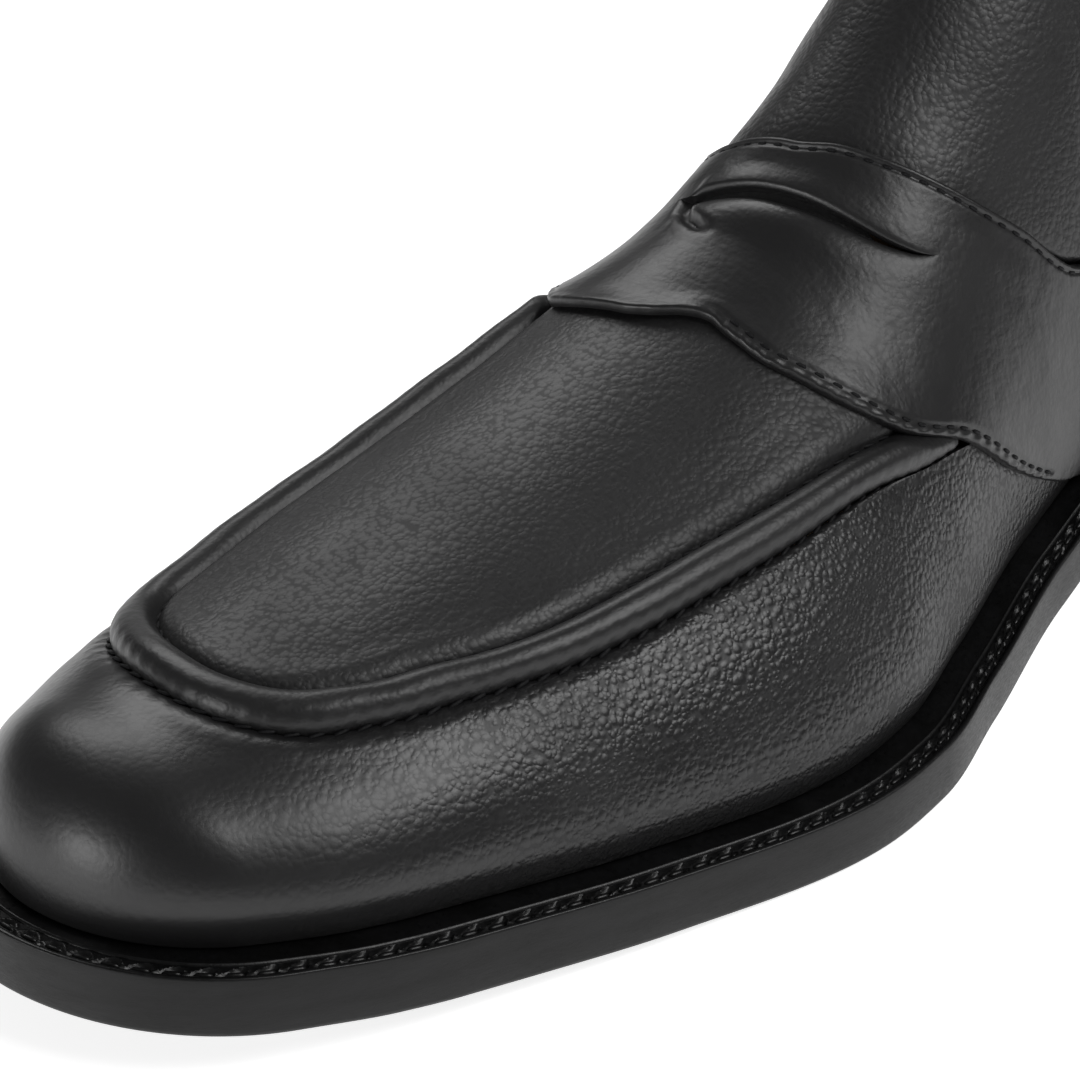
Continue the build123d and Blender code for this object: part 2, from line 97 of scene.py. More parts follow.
# Roll: its width by station. Apron: how far its seam lies from AXIS_X on each side, by station.
ROLL_AT = [24, 45, 60, 80, 95, 110, 125, 142]
ROLL_WIDTH = [6.1, 5.6, 4.8, 5, 4.8, 4.1, 3.5, 3.3]
APRON_AT = [24, 36, 46, 55, 65, 84, 105, 122, 142]
APRON_OUTER = [21.2, 20.6, 23.1, 26.1, 28.9, 32, 34, 34.1, 33]
APRON_INNER = [26.5, 26.5, 26.6, 27.1, 27.5, 27, 25.5, 25, 24.5]
APRON_FRONT = 24.0
APRON_ROUND = (20.0, 2.1)
PLUG_ROUND = (14.0, 2.1)
PLUG_REAR = 137.0
ROLL_REAR = 136.0
VAMP_REAR = 140.0
VAMP_FOOT_REAR = 186.0
APRON_THREADS_REAR = 134.0

LEATHER = 1.4
WALL = 10.0                 # angles past 0 and 180 run down the upright foot of the wall
HEEL_BEND = (95, 144)       # the back's curve sets in between these two places along Y
HEEL_HIGH = 34.0
HEEL_SWELL = 2.2
HEEL_LEAN = 4.5
EDGE_MARKS = np.array([0, 0.12, 0.3, 0.55, 0.9, 1.4])
SHARP_EDGE = math.radians(55)


def table(stations, values):
    """Smooth curve through the given values that never overshoots them."""
    x = np.array(stations, float)
    v = np.array(values, float)
    h = np.diff(x)
    d = np.diff(v) / h
    m = np.concatenate([d[:1], np.zeros(len(d) - 1), d[-1:]])
    for i in range(1, len(d)):
        if d[i - 1] * d[i] > 0:
            wa = 2 * h[i] + h[i - 1]
            wb = h[i] + 2 * h[i - 1]
            m[i] = (wa + wb) / (wa / d[i - 1] + wb / d[i])

    def value(at):
        at = np.asarray(at, float)
        i = np.clip(np.searchsorted(x, at, side="right") - 1, 0, len(h) - 1)
        t = (at - x[i]) / h[i]
        cubic = (
            (1 + 2 * t) * (1 - t) ** 2 * v[i]
            + t * (1 - t) ** 2 * h[i] * m[i]
            + t * t * (3 - 2 * t) * v[i + 1]
            - t * t * (1 - t) * h[i] * m[i + 1]
        )
        before = v[0] + m[0] * (at - x[0])
        after = v[-1] + m[-1] * (at - x[-1])
        return np.where(at < x[0], before, np.where(at > x[-1], after, cubic))

    return value


outer_width = table(WIDTH_AT, OUTER_WIDTH)
inner_width = table(WIDTH_AT, INNER_WIDTH)
ridge = table(RIDGE_AT, RIDGE)
side_power = table(POWER_AT, SIDE_POWER)
top_power = table(POWER_AT, TOP_POWER)
bottom = table(BOTTOM_AT, BOTTOM)
topline = table(TOPLINE_AT, TOPLINE)
apron_outer = table(APRON_AT, APRON_OUTER)
apron_inner = table(APRON_AT, APRON_INNER)
strap_front = table(STRAP_FRONT_AT, STRAP_FRONT)
strap_rear = table(STRAP_REAR_AT, STRAP_REAR)
tab_proud = table(TAB_PROUD_AT, TAB_PROUD)
slot_line = table(SLOT_AT, SLOT)
roll_width = table(ROLL_AT, ROLL_WIDTH)


def y_at(station):
    return station - SOLE_LENGTH / 2 + WELT_MARGIN


def feather(station):
    return bottom(station) + OUTSOLE + WELT + GAP


def rounding(distance, length, power):
    t = np.clip(np.asarray(distance, float) / length, 0.0, 1.0)
    return (1 - (1 - t) ** power) ** (1 / power)


def smooth(low, high, at):
    t = np.clip((np.asarray(at, float) - low) / (high - low), 0, 1)
    return t * t * (3 - 2 * t)


def unit(v):
    return v / np.maximum(np.linalg.norm(v, axis=-1, keepdims=True), 1e-9)


def skin(s, a):
    """Outer face of the upper: angle 0 outer side, 90 ridge, 180 inner side, and past them the wall."""
    s = np.asarray(s, float)
    a = np.asarray(a, float)
    share = rounding(s, *TOE_ROUND) * rounding(UPPER_LENGTH - s, *HEEL_ROUND)
    cap = rounding(s, *TOE_CAP)
    foot = WALL_FOOT * cap
    turn = np.radians(np.clip(a, 0, 180))
    c = np.cos(turn)
    sn = np.maximum(np.sin(turn), 0)
    half = np.where(c >= 0, outer_width(s), inner_width(s))
    reach = np.sign(c) * np.abs(c) ** (2 / side_power(s))
    wall = np.clip(np.maximum(-a, a - 180) / WALL, 0, 1)
    shift = RIDGE_SHIFT * np.minimum(1, s / 100) * share * sn ** 2
    x = AXIS_X + reach * half * share + shift - np.sign(c) * WALL_TUCK * share * wall ** 1.6
    rise = (ridge(s) * cap - foot) * sn ** (2 / top_power(s))
    z = feather(s) + foot * (1 - wall) + rise
    return np.stack(np.broadcast_arrays(x, y_at(s), z), -1)


def skin_normal(s, a):
    ds = np.minimum(0.4, np.maximum(np.asarray(s, float), 0.02) / 3)
    along = skin(s + ds, a) - skin(s - ds, a)
    across = skin(s, a + 0.8) - skin(s, a - 0.8)
    return unit(np.cross(along, across))


def heel_curve(p):
    """The back of the upper swells above the heel seat and leans in towards the foot opening."""
    p = np.array(p, float)
    back = smooth(*HEEL_BEND, p[..., 1])
    above = (p[..., 2] - feather(p[..., 1] - y_at(0))) / HEEL_HIGH
    swell = HEEL_SWELL * np.sin(np.pi * np.clip(above / 0.8, 0, 1))
    p[..., 1] += back * (swell - HEEL_LEAN * np.clip(above - 0.45, 0, 1) ** 1.4)
    return p


def on_skin(s, a, out):
    """Point standing out of the upper's face by out."""
    return heel_curve(skin(s, a) + skin_normal(s, a) * np.asarray(out, float)[..., None])


def angle_at(x, s):
    """Angle of the upper's face above a plan position, found in steps as the ridge shifts with it."""
    share = rounding(s, *TOE_ROUND) * rounding(UPPER_LENGTH - s, *HEEL_ROUND)
    shift = RIDGE_SHIFT * np.minimum(1, s / 100) * share
    lift = np.ones_like(x)
    for _ in range(4):
        xr = x - AXIS_X - shift * lift
        half = np.where(xr >= 0, outer_width(s), inner_width(s)) * np.maximum(share, 1e-6)
        c = np.clip(np.abs(xr) / half, 0, 1) ** (side_power(s) / 2)
        lift = 1 - c ** 2
    return np.degrees(np.arccos(np.sign(xr) * c))


def angle_at_height(z, s, side):
    """Angle where the upper's side reaches a height; side +1 is the outer side."""
    cap = rounding(s, *TOE_CAP)
    foot = WALL_FOOT * cap
    rise = np.clip((z - feather(s) - foot) / (ridge(s) * cap - foot), 0, 1)
    a = np.degrees(np.arcsin(rise ** (top_power(s) / 2)))
    below = -WALL * np.clip((feather(s) + foot - z) / foot, 0, 1)
    a = np.where(z < feather(s) + foot, below, a)
    return a if side > 0 else 180 - a


def lengths(points):
    """Distance along each row of points."""
    step = np.linalg.norm(np.diff(points, axis=-2), axis=-1)
    return np.concatenate([np.zeros(step.shape[:-1] + (1,)), np.cumsum(step, -1)], -1)


def resample(s, a, marks):
    """Rows of (station, angle) read again at marks from 0 to 1 along their length on the face."""
    run = lengths(skin(s, a))
    marks = np.broadcast_to(marks, (len(s), np.shape(marks)[-1]))
    new_s = np.stack([np.interp(m * r[-1], r, row) for m, r, row in zip(marks, run, s)])
    new_a = np.stack([np.interp(m * r[-1], r, row) for m, r, row in zip(marks, run, a)])
    return new_s, new_a, marks * run[:, -1:]


def spread(length, edge, step):
    """Marks from 0 to 1 along a length, close together at both ends."""
    near = EDGE_MARKS * edge
    count = max(2, int((length - 2 * near[-1]) / step))
    middle = np.linspace(near[-1], length - near[-1], count + 1)
    return np.concatenate([near[:-1], middle, length - near[-2::-1]]) / length


def end_marks(length, power, count):
    turn = np.radians(90 * np.arange(count) / count)
    return length * (1 - np.cos(turn) ** (2 / power))


def apron_line(inset, count, rear, across=0.0):
    """Plan points (x, station) of the apron's edge from the outer rear round the front to the inner rear.

    across is 0 for the roll's outer edge and 1 for its inner edge.
    """
    front = APRON_FRONT + inset + across * ROLL_WIDTH[0]
    corner = (APRON_ROUND[0] + across * (PLUG_ROUND[0] - APRON_ROUND[0]), APRON_ROUND[1])
    s = np.concatenate([front + end_marks(*corner, 300), np.linspace(front + corner[0], rear, 900)])
    share = rounding(s - front, *corner)
    drawn_in = inset + across * roll_width(s)
    outside = np.stack([AXIS_X + (apron_outer(s) - drawn_in) * share, s], -1)
    inside = np.stack([AXIS_X - (apron_inner(s) - drawn_in) * share, s], -1)
    return even(np.concatenate([outside[::-1], inside[1:]]), count)


def even(points, count, closed=False):
    """Points read again at even steps."""
    run = lengths(points)
    at = np.linspace(0, run[-1], count, endpoint=not closed)
    return np.stack([np.interp(at, run, points[:, k]) for k in range(points.shape[1])], -1)


def plan_ring(margin, count):
    """Plan points (x, y) and stations of the outline standing out of the upper by margin, evenly spaced."""
    front = -margin
    rear = UPPER_LENGTH + margin
    front_length = TOE_ROUND[0] + margin
    rear_length = HEEL_ROUND[0] + margin
    fore = front + end_marks(front_length, TOE_ROUND[1], 200)
    aft = rear - end_marks(rear_length, HEEL_ROUND[1], 200)[::-1]
    s = np.concatenate([fore, np.linspace(fore[-1] + 0.5, aft[0] - 0.5, 600), aft])
    share = rounding(s - front, front_length, TOE_ROUND[1])
    share = share * rounding(rear - s, rear_length, HEEL_ROUND[1])
    at = np.maximum(s, 0)
    outside = np.stack([AXIS_X + (outer_width(at) + margin) * share, y_at(s)], -1)
    inside = np.stack([AXIS_X - (inner_width(at) + margin) * share, y_at(s)], -1)
    return even(np.concatenate([outside, inside[::-1], outside[:1]]), count, closed=True)


def groove(distance, depth, at, width):
    """Soft bell along an edge: its centre lies at a distance in from the edge."""
    return depth * np.exp(-((distance - at) / width) ** 2)


def dying(distance, height, reach):
    """Height that dies away from an edge."""
    return height * np.exp(-distance / reach)


# ---- meshes ----
def new_object(name, points, faces, look, body="shoe"):
    mesh = bpy.data.meshes.new(name)
    mesh.from_pydata((np.asarray(points) * MM).tolist(), [], [tuple(int(i) for i in f) for f in faces])
    mesh.validate()
    mesh.update()
    mesh.polygons.foreach_set("use_smooth", [True] * len(mesh.polygons))
    mesh.set_sharp_from_angle(angle=SHARP_EDGE)
    mesh.materials.append(look)
    obj = bpy.data.objects.new(name, mesh)
    bpy.context.scene.collection.objects.link(obj)
    if body:
        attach(obj, body)
    return obj


def grid_faces(rows, cols, start=0, wrap=False, flip=False):
    r = np.arange(rows - 1)[:, None]
    c = np.arange(cols if wrap else cols - 1)[None, :]
    n = (c + 1) % cols
    quads = np.stack([r * cols + c, r * cols + n, (r + 1) * cols + n, (r + 1) * cols + c], -1)
    quads = quads.reshape(-1, 4)
    return (quads[:, ::-1] if flip else quads) + start


def slab_grid(outer, inner):
    """Closed solid between two grids of points (rows, columns, 3)."""
    rows, cols = outer.shape[:2]
    n = rows * cols
    points = np.concatenate([outer.reshape(-1, 3), inner.reshape(-1, 3)])
    ids = np.arange(n).reshape(rows, cols)
    loop = np.concatenate([ids[0, :-1], ids[:-1, -1], ids[-1, :0:-1], ids[:0:-1, 0]])
    ahead = np.roll(loop, -1)
    rim = np.stack([ahead, ahead + n, loop + n, loop], -1)
    faces = [grid_faces(rows, cols), grid_faces(rows, cols, n, flip=True), rim]
    return points, np.concatenate(faces)


def edge_round(d, radius):
    """How far a rounded edge falls below the face at a distance in from the edge."""
    d = np.clip(d, 0, radius)
    return radius - np.sqrt(np.maximum(radius ** 2 - (radius - d) ** 2, 0))


def threads(name, centres, along, normals, length, radius, look):
    """One mesh of many short stitches, each a rounded length of thread."""
    rings = 7
    sides = 8
    t = np.linspace(-1, 1, rings)
    swell = np.sqrt(np.maximum(1 - t ** 4, 0.02))
    turn = np.linspace(0, 2 * np.pi, sides, endpoint=False)
    side = unit(np.cross(normals, along))
    points, faces = [], []
    for k, (c, d, n, b) in enumerate(zip(centres, unit(along), normals, side)):
        base = k * (rings * sides)
        for i in range(rings):
            middle = c + d * t[i] * length / 2
            ring = np.cos(turn)[:, None] * b + np.sin(turn)[:, None] * n
            points.append(middle + ring * radius * swell[i])
        faces += grid_faces(rings, sides, base, wrap=True).tolist()
        faces.append(list(range(base + sides - 1, base - 1, -1)))
        faces.append(list(range(base + (rings - 1) * sides, base + rings * sides)))
    return new_object(name, np.concatenate(points), faces, look)


def read_line(at, run, line):
    """Points of a line at distances along it."""
    return np.stack([np.interp(at, run, line[:, k]) for k in range(3)], -1)


def seam_threads(name, s, a, out, pitch, length, radius, skew=0.0):
    """Stitches in a row along a line of (station, angle) on the upper, standing out of it by out."""
    line = on_skin(s, a, np.full(len(a), out))
    run = lengths(line)
    count = int(run[-1] / pitch)
    at = (np.arange(count) + 0.5) * run[-1] / count
    centres = read_line(at, run, line)
    normals = unit(skin_normal(np.interp(at, run, s), np.interp(at, run, a)))
    along = unit(read_line(at + 0.4, run, line) - read_line(at - 0.4, run, line))
    side = unit(np.cross(normals, along))
    along = unit(along * math.cos(skew) + side * math.sin(skew))
    return threads(name, centres, along, normals, length, radius, THREAD)


# ---- materials ----
def material(name):
    mat = bpy.data.materials.new(name)
    mat.use_nodes = True
    nodes = mat.node_tree.nodes
    links = mat.node_tree.links
    shader = nodes["Principled BSDF"]
    where = nodes.new("ShaderNodeTexCoord").outputs["Object"]
    return mat, nodes, links, shader, where


def math_node(nodes, links, kind, a, b):
    n = nodes.new("ShaderNodeMath")
    n.operation = kind
    for i, v in enumerate((a, b)):
        if isinstance(v, (int, float)):
            n.inputs[i].default_value = v
        else:
            links.new(v, n.inputs[i])
    return n.outputs[0]


def ramp(nodes, links, source, low, high, out_low=0.0, out_high=1.0):
    n = nodes.new("ShaderNodeMapRange")
    n.interpolation_type = "SMOOTHSTEP"
    links.new(source, n.inputs["Value"])
    for key, v in (("From Min", low), ("From Max", high), ("To Min", out_low), ("To Max", out_high)):
        n.inputs[key].default_value = v
    return n.outputs["Result"]


def colour_mix(nodes, links, factor, dark, light):
    n = nodes.new("ShaderNodeMix")
    n.data_type = "RGBA"
    links.new(factor, n.inputs["Factor"])
    n.inputs["A"].default_value = (*dark, 1)
    n.inputs["B"].default_value = (*light, 1)
    return n.outputs["Result"]


def noise(nodes, links, where, scale, detail=3.0, rough=0.5):
    n = nodes.new("ShaderNodeTexNoise")
    n.inputs["Scale"].default_value = scale
    n.inputs["Detail"].default_value = detail
    n.inputs["Roughness"].default_value = rough
    links.new(where, n.inputs["Vector"])
    return n.outputs["Fac"]


def bumped(nodes, links, shader, layers):
    """Bump layers of (height, distance in metres, strength), one on top of the other."""
    last = None
    for height, distance, strength in layers:
        n = nodes.new("ShaderNodeBump")
        n.inputs["Distance"].default_value = distance
        n.inputs["Strength"].default_value = strength
        links.new(height, n.inputs["Height"])
        if last:
            links.new(last, n.inputs["Normal"])
        last = n.outputs["Normal"]
    links.new(last, shader.inputs["Normal"])


# The second black below is painted shade, laid into the creases between the pebbles.
CREASE_SHADE_BLACK = (0.0035, 0.0035, 0.004)
BLACK = (0.011, 0.0108, 0.0112)
PEBBLE_LAYERS = ((1.0, 1.0), (0.76, 0.8), (0.55, 0.6))    # shares of the pebble's size and of its height
PATCH_SCALE = 45.0
PORE_SCALE = 5200.0
PORE_DEPTH = 0.00002
TIGHT_TOE = (-0.135, -0.065)                               # between these Ys in metres the toe's pull ends
FOLD_SCALE = 90.0
FOLD_STRETCH = (1.0, 2.6, 1.8)
CREASE_DULL = 0.25


def grain_leather(name, pebble, depth, rough, crease_shade_and_dull_share, toe_share=1.0, fold_depth=0.0):
    """Pebbled leather: soft round pebbles of a size in metres, with small ones in the gaps.

    toe_share is how much of the pebbles' depth and of the creases' painted shade is left where the leather is
    pulled tight over the toe, and the crease share how much painted shade darkens the creases and how much
    duller they are.
    """
    mat, nodes, links, shader, where = material(name)
    warp = nodes.new("ShaderNodeTexNoise")
    warp.inputs["Scale"].default_value = 0.5 / pebble
    warp.inputs["Detail"].default_value = 1.0
    links.new(where, warp.inputs["Vector"])
    add = nodes.new("ShaderNodeVectorMath")
    add.operation = "MULTIPLY_ADD"
    links.new(warp.outputs["Color"], add.inputs[0])
    add.inputs[1].default_value = (pebble * 0.5,) * 3
    links.new(where, add.inputs[2])
    domes = []
    for size, tall in PEBBLE_LAYERS:
        cell = nodes.new("ShaderNodeTexVoronoi")
        cell.feature = "SMOOTH_F1"
        cell.inputs["Scale"].default_value = 1 / (pebble * size)
        cell.inputs["Smoothness"].default_value = 0.3
        cell.inputs["Randomness"].default_value = 0.7
        links.new(add.outputs[0], cell.inputs["Vector"])
        domes.append(ramp(nodes, links, cell.outputs["Distance"], 0.12, 0.6, tall, 0.0))
    height = domes[0]
    for dome in domes[1:]:
        height = math_node(nodes, links, "MAXIMUM", height, dome)
    patch = noise(nodes, links, where, PATCH_SCALE, 3.0)
    fine = noise(nodes, links, where, PORE_SCALE, 2.0)
    place = nodes.new("ShaderNodeSeparateXYZ")
    links.new(where, place.inputs[0])
    tight = ramp(nodes, links, place.outputs["Y"], *TIGHT_TOE, toe_share, 1.0)
    strength = math_node(nodes, links, "MULTIPLY", ramp(nodes, links, patch, 0.3, 0.7, 0.7, 1.1), tight)
    layers = [(math_node(nodes, links, "MULTIPLY", height, strength), depth, 1.0), (fine, PORE_DEPTH, 0.3)]
    if fold_depth:
        stretch = nodes.new("ShaderNodeMapping")
        stretch.inputs["Scale"].default_value = FOLD_STRETCH
        links.new(where, stretch.inputs["Vector"])
        folds = noise(nodes, links, stretch.outputs[0], FOLD_SCALE, 3.0, 0.55)
        layers.insert(0, (folds, fold_depth, 1.0))
    bumped(nodes, links, shader, layers)
    # Painted shade: the creases between the pebbles take the darker black, more by the crease share and less
    # where the leather is pulled tight over the toe; the same mask makes them duller.
    gaps = ramp(nodes, links, height, 0.0, 0.4, crease_shade_and_dull_share, 0.0)
    crease_shade_and_dull = math_node(nodes, links, "MULTIPLY", gaps, tight)
    links.new(colour_mix(nodes, links, crease_shade_and_dull, BLACK, CREASE_SHADE_BLACK), shader.inputs["Base Color"])
    uneven = ramp(nodes, links, patch, 0.3, 0.7, rough - 0.04, rough + 0.05)
    duller = math_node(nodes, links, "MULTIPLY", crease_shade_and_dull, CREASE_DULL)
    links.new(math_node(nodes, links, "ADD", uneven, duller), shader.inputs["Roughness"])
    return mat


def plain_material(
    name, dark, light, rough, scale, bump, metal=0.0, stretch=(1, 1, 1), sheen=0.0, specular=0.5
):
    """Worn or fibrous surface: mottled colour, uneven gloss and a fine bump."""
    mat, nodes, links, shader, where = material(name)
    mapping = nodes.new("ShaderNodeMapping")
    mapping.inputs["Scale"].default_value = stretch
    links.new(where, mapping.inputs["Vector"])
    coarse = noise(nodes, links, mapping.outputs[0], scale * 0.12, 4.0)
    fine = noise(nodes, links, mapping.outputs[0], scale, 5.0, 0.65)
    tone = math_node(nodes, links, "MULTIPLY", ramp(nodes, links, coarse, 0.25, 0.75),
                     ramp(nodes, links, fine, 0.2, 0.7, 0.55, 1.0))
    links.new(colour_mix(nodes, links, tone, dark, light), shader.inputs["Base Color"])
    links.new(ramp(nodes, links, fine, 0.3, 0.7, rough - 0.07, rough + 0.07), shader.inputs["Roughness"])
    shader.inputs["Metallic"].default_value = metal
    shader.inputs["Sheen Weight"].default_value = sheen
    shader.inputs["Specular IOR Level"].default_value = specular
    bumped(nodes, links, shader, [(fine, bump, 0.8)])
    return mat


WALL_GRAIN = grain_leather(
    "wall_grain", pebble=0.0015, depth=0.00012, rough=0.35, crease_shade_and_dull_share=0.6, toe_share=0.12
)
PLUG_GRAIN = grain_leather("plug_grain", pebble=0.0015, depth=0.00006, rough=0.45, crease_shade_and_dull_share=0.45)
ROLL_GRAIN = grain_leather("roll_grain", pebble=0.0014, depth=0.00003, rough=0.41, crease_shade_and_dull_share=0.12)
STRAP_GRAIN = grain_leather(
    "strap_grain", pebble=0.0014, depth=0.00002, rough=0.37, crease_shade_and_dull_share=0.1, fold_depth=0.00022
)
TONGUE_GRAIN = grain_leather("tongue_grain", pebble=0.0015, depth=0.00006, rough=0.41, crease_shade_and_dull_share=0.45)
THREAD = plain_material(
    "black_thread", (0.002, 0.002, 0.0025), (0.007, 0.007, 0.008),
    rough=0.6, scale=4000.0, bump=0.00008, specular=0.2,
)
WELT_BLACK = plain_material(
    "welt_leather", (0.002, 0.002, 0.002), (0.006, 0.006, 0.0065),
    rough=0.34, scale=1500.0, bump=0.00003, specular=0.35,
)
SOLE_EDGE = plain_material(
    "sole_edge_ink", (0.005, 0.005, 0.005), (0.011, 0.011, 0.0115),
    rough=0.45, scale=900.0, bump=0.00003, stretch=(1, 1, 5), specular=0.22,
)
LINING_TAN = plain_material(
    "lining_leather", (0.33, 0.2, 0.105), (0.42, 0.27, 0.15),
    rough=0.6, scale=1800.0, bump=0.00006, sheen=0.1,
)
RUBBER = plain_material(
    "heel_rubber", (0.008, 0.008, 0.008), (0.02, 0.02, 0.02), rough=0.65, scale=2600.0, bump=0.00008
)
BRASS = plain_material(
    "brass", (0.5, 0.33, 0.12), (0.8, 0.6, 0.28), rough=0.3, scale=1500.0, bump=0.00003, metal=1.0
)
CORK = plain_material("cork", (0.2, 0.11, 0.05), (0.5, 0.33, 0.18), rough=0.85, scale=900.0, bump=0.0003)
STEEL = plain_material(
    "spring_steel", (0.3, 0.3, 0.31), (0.55, 0.55, 0.57), rough=0.32, scale=1500.0, bump=0.00003, metal=1.0
)
CANVAS = plain_material(
    "rib_canvas", (0.42, 0.38, 0.3), (0.7, 0.65, 0.55), rough=0.85, scale=1200.0, bump=0.0002, sheen=0.2
)
FOAM = plain_material(
    "pad_foam", (0.5, 0.47, 0.4), (0.75, 0.71, 0.63), rough=0.9, scale=2500.0, bump=0.0002, sheen=0.2
)


# ---- apron: plug, roll and the vamp round them ----
def nearest(points, line):
    """Distance from each point to a dense line."""
    out = np.empty(len(points))
    for i in range(0, len(points), 2000):
        d = points[i:i + 2000, None, :] - line[None]
        out[i:i + 2000] = np.sqrt((d ** 2).sum(-1)).min(1)
    return out


def seam_pucker(run, pitch, depth):
    """Shallow scallops that the stitches pull into a seam's edge."""
    return depth * (0.5 + 0.5 * np.cos(2 * np.pi * run / pitch))


APRON_PITCH = 3.0
ROLL_FOOT = -0.9
ROLL_HIGH = 2.95


def build_plug():
    front = APRON_FRONT + ROLL_WIDTH[0]
    fore = front + end_marks(*PLUG_ROUND, 40)[1:]
    s = np.concatenate([fore, np.linspace(front + PLUG_ROUND[0], PLUG_REAR, 130)])
    share = rounding(s - front, *PLUG_ROUND)
    left = AXIS_X + (apron_outer(s) - roll_width(s)) * share
    right = AXIS_X - (apron_inner(s) - roll_width(s)) * share
    u = spread(50.0, 1.1, 0.7)
    x = left[:, None] + (right - left)[:, None] * u[None]
    s = np.broadcast_to(s[:, None], x.shape)
    a = angle_at(x, s)
    edge = apron_line(0.0, 1200, VAMP_REAR, across=1.0)
    d = nearest(np.stack([x.ravel(), s.ravel()], -1), edge).reshape(x.shape)
    out = dying(d, -1.1, reach=0.8) + groove(d, 0.25, at=2.6, width=1.6)
    points, faces = slab_grid(on_skin(s, a, out), on_skin(s, a, out * 0 - LEATHER))
    obj = new_object("apron_plug_skin", points, faces, PLUG_GRAIN)
    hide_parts("apron_plug")


def build_roll():
    count = 720
    marks = np.linspace(0, 1, 25)
    rows = [apron_line(0.0, count, ROLL_REAR, across=m) for m in marks]
    x = np.stack([r[:, 0] for r in rows])
    s = np.stack([r[:, 1] for r in rows])
    a = angle_at(x, s)
    run = lengths(on_skin(s[0], a[0], np.zeros(count)))[None, :]
    hump = (1 - np.abs(2 * marks - 1) ** 2.3) ** (1 / 1.55)
    front_gap = strap_front(a) - s
    tall = 0.3 + 0.7 * smooth(-1.5, 3.0, front_gap)
    wobble = 0.07 * np.sin(run / 5.3) + 0.05 * np.sin(run / 2.1 + 1.0)
    out = ROLL_FOOT + (ROLL_HIGH + wobble) * tall * hump[:, None]
    out -= seam_pucker(run, APRON_PITCH, 0.3) * np.exp(-marks / 0.16)[:, None]
    points, faces = slab_grid(on_skin(s, a, out), on_skin(s, a, out * 0 - LEATHER))
    obj = new_object("apron_roll_skin", points, faces, ROLL_GRAIN)
    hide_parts("apron_roll")


def build_vamp():
    count = 620
    top = apron_line(-0.05, count, VAMP_REAR)
    foot_count = 2400
    fore = end_marks(*TOE_ROUND, 400)
    low = np.concatenate([fore, np.linspace(TOE_ROUND[0], VAMP_FOOT_REAR, 900)])
    share = rounding(low, *TOE_ROUND)
    outside = np.stack([AXIS_X + outer_width(low) * share, low], -1)
    inside = np.stack([AXIS_X - inner_width(low) * share, low], -1)
    foot = even(np.concatenate([outside[::-1], inside[1:]]), foot_count)
    half_top = np.argmin(top[:, 1])
    half_foot = np.argmin(foot[:, 1])
    at = np.interp(np.arange(count), [0, half_top, count - 1], [0, half_foot, foot_count - 1])
    foot = np.stack([np.interp(at, np.arange(foot_count), foot[:, k]) for k in range(2)], -1)
    tau = 1 - (1 - np.linspace(0, 1, 120)) ** 2.5
    plan = top[:, None, :] + (foot - top)[:, None, :] * tau[None, :, None]
    s = np.maximum(plan[..., 1], 1e-3)
    a = angle_at(plan[..., 0], s)
    side = np.where(plan[:, :1, 0] >= AXIS_X, 0.0, 180.0)
    a[:, -1:] = side
    wall = np.linspace(0, WALL, 9)[None, 1:]
    a = np.concatenate([a, np.where(side < 90, -wall, 180 + wall)], 1)
    s = np.concatenate([s, np.repeat(s[:, -1:], 8, 1)], 1)
    s, a, d = resample(s, a, spread(50.0, 1.2, 0.75))
    run = lengths(on_skin(s[:, 0], a[:, 0], np.zeros(count)))[:, None]
    out = dying(d, -0.9, reach=0.9) + groove(d, 0.16, at=2.8, width=1.7)
    out -= seam_pucker(run, APRON_PITCH, 0.18) * np.exp(-d / 1.4)
    points, faces = slab_grid(on_skin(s, a, out), on_skin(s, a, out * 0 - LEATHER))
    obj = new_object("vamp_skin", points, faces, WALL_GRAIN)
    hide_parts("vamp")


def build_apron_stitches():
    for name, inset, across, out, skew, node in (
        ("apron_outer_threads", -0.15, 0.0, -0.7, 0.3, "apron_outer_stitches"),
        ("apron_inner_threads", 0.1, 1.0, -0.95, -0.15, "apron_inner_stitches"),
    ):
        line = apron_line(inset, 1200, APRON_THREADS_REAR, across)
        a = angle_at(line[:, 0], line[:, 1])
        obj = seam_threads(name, line[:, 1], a, out, APRON_PITCH, length=2.4, radius=0.36, skew=skew)
        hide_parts(node)


# ---- strap ----
STRAP_OUT = 1.5              # the strap's face stands this far out of the upper
EDGE_PITCH = 2.7
FRONT_SEAM = 1.75            # the stitch rows' distances in from the strap's edges
REAR_SEAM = 1.25
FRONT_SEAM_ENDS = (8, 77.5)  # angles; the row starts again on the inner side of the tab
REAR_SEAM_ENDS = (22, 158)
GAPE_LOW = 0.45
GAPE_HIGH = 0.35
HOOK = ((-11.4, 130.8), (-10.6, 128.8), (-8.6, 127.0), (-5.6, 125.8), (-2.5, 125.4))


def strap_angles(count):
    """Angles round the upper, evenly spaced along the strap."""
    a = np.linspace(-WALL, 180 + WALL, 4000)
    run = lengths(skin((strap_front(a) + strap_rear(a)) / 2, a))
    return np.interp(np.linspace(0, run[-1], count), run, a)


def along_edge(s, a):
    """Distance along an edge of the strap at each of its angles."""
    return lengths(on_skin(s, a, np.full(len(a), STRAP_OUT)))


